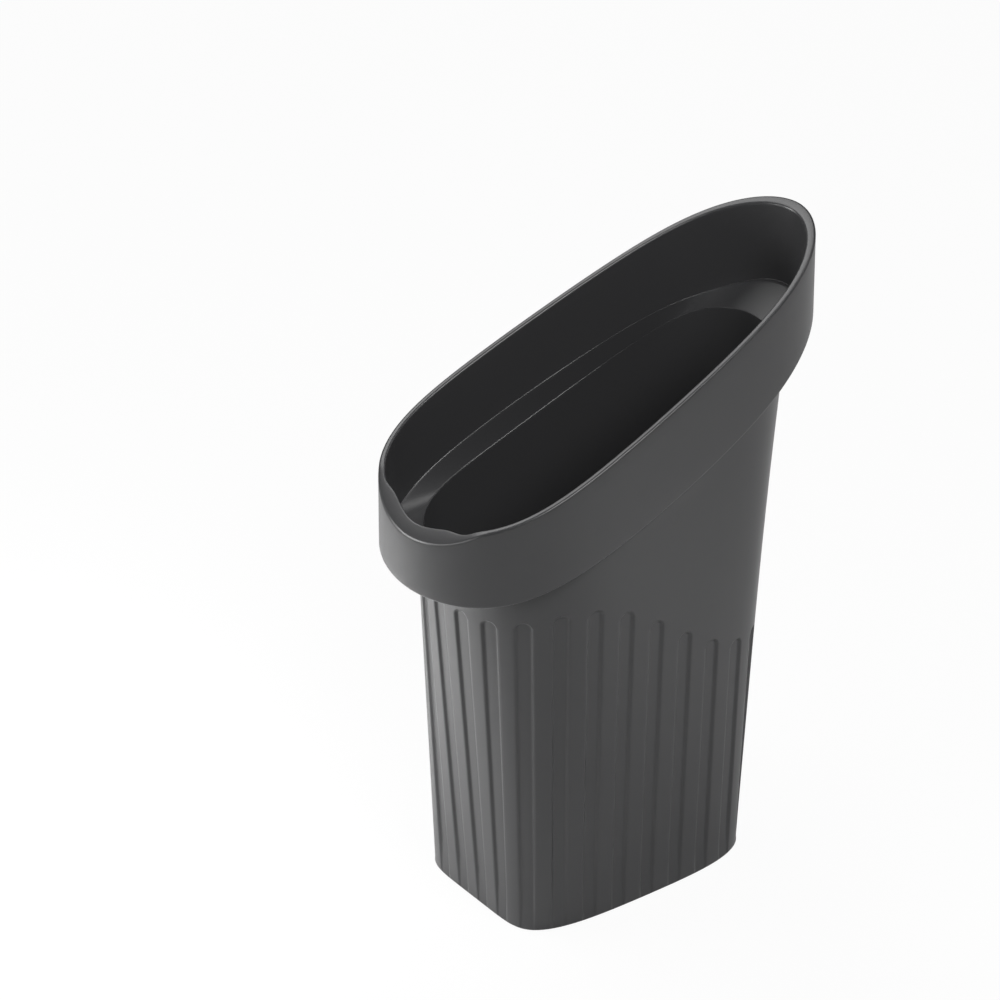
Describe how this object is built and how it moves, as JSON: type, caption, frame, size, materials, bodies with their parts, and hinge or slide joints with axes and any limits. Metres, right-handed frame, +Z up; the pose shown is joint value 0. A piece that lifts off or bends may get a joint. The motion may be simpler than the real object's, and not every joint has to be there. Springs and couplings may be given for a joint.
{
  "type": "car trash bin",
  "caption": "Slim moulded bin for a car door pocket, with a fluted tapered body, a stepped collar and a mouth that slants up from a low lip.",
  "frame": {"origin": "on the plane the base rests on, below the centre of the overall box", "axes": "+X from the low lip to the high end, +Z up, XZ is the plane of symmetry"},
  "size_m": [0.176, 0.0822, 0.2378],
  "materials": {
    "plastic": "satin dark grey moulded plastic with a fine even grain"
  },
  "bodies": {
    "root": {"bin": "plastic"}
  },
  "joints": []
}
